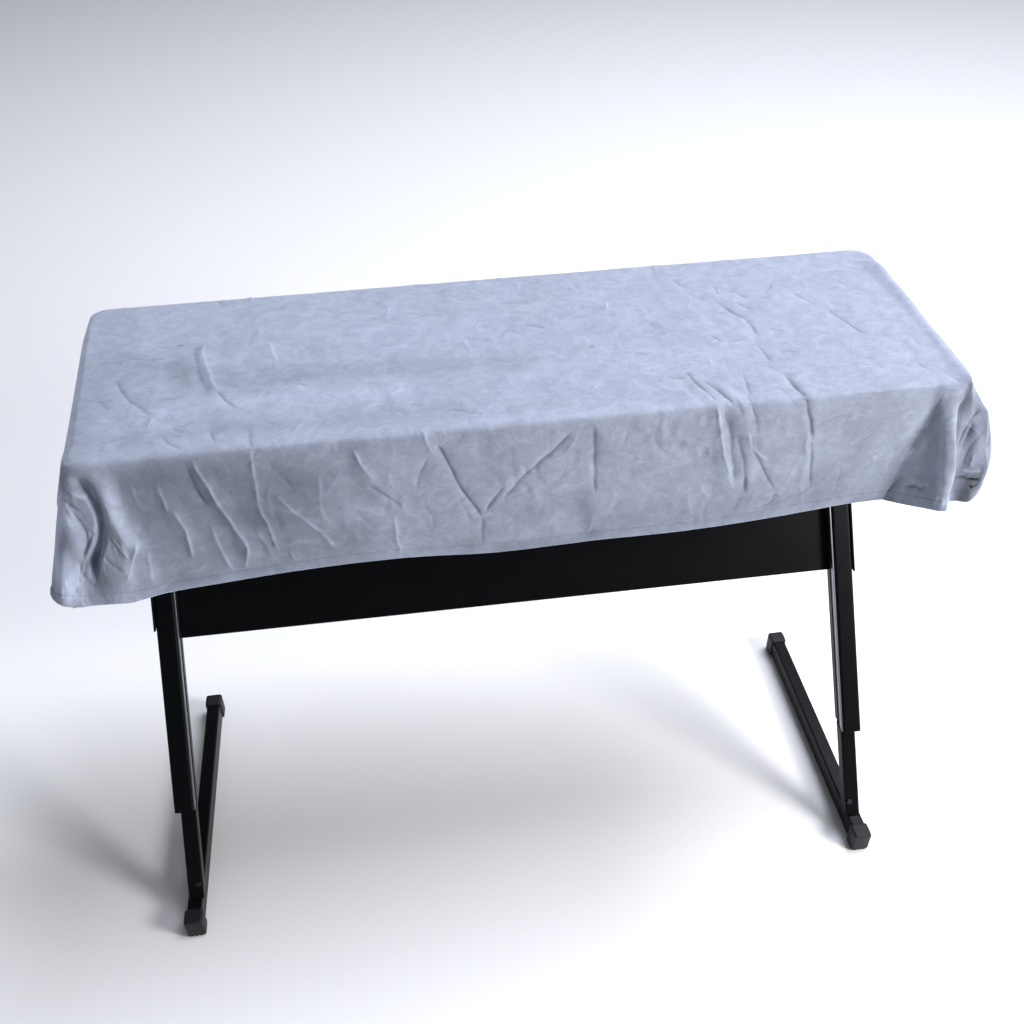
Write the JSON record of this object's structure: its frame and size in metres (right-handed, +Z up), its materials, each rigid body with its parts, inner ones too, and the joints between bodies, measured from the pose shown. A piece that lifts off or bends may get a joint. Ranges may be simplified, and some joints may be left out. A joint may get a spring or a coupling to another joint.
{
  "type": "keyboard dust cover draped over a keyboard on a stand",
  "caption": "Velvet dust cover lying loosely over an electronic keyboard on a slanted-leg steel stand, its corners hanging in soft folds.",
  "frame": {"origin": "centre of the object's box, on the floor under it", "axes": "+X along the keyboard to the player's right, +Y from the player towards the back, +Z up"},
  "size_m": [1.107, 0.4966, 0.7317],
  "materials": {
    "velvet": "short-pile polyester velvet, grey blue, softly creased",
    "black_paint": "satin black powder coat",
    "black_plastic": "moulded, fine grain",
    "bright_metal": "bright, drawn",
    "case_black": "moulded, fine grain"
  },
  "bodies": {
    "root": {"foot_tube_left": "black_paint", "foot_cap_front_left": "black_plastic", "foot_cap_rear_left": "black_plastic", "leg_tube_left": "black_paint", "leg_sleeve_left": "black_paint", "sleeve_strip_left": "bright_metal", "upper_bracket_left": "black_paint", "top_arm_left": "black_paint", "leg_screw_left": "bright_metal", "foot_tube_right": "black_paint", "foot_cap_front_right": "black_plastic", "foot_cap_rear_right": "black_plastic", "leg_tube_right": "black_paint", "leg_sleeve_right": "black_paint", "sleeve_strip_right": "bright_metal", "upper_bracket_right": "black_paint", "top_arm_right": "black_paint", "leg_screw_right": "bright_metal", "modesty_board": "black_paint", "keyboard_case": "case_black", "cover": "velvet"}
  },
  "joints": []
}
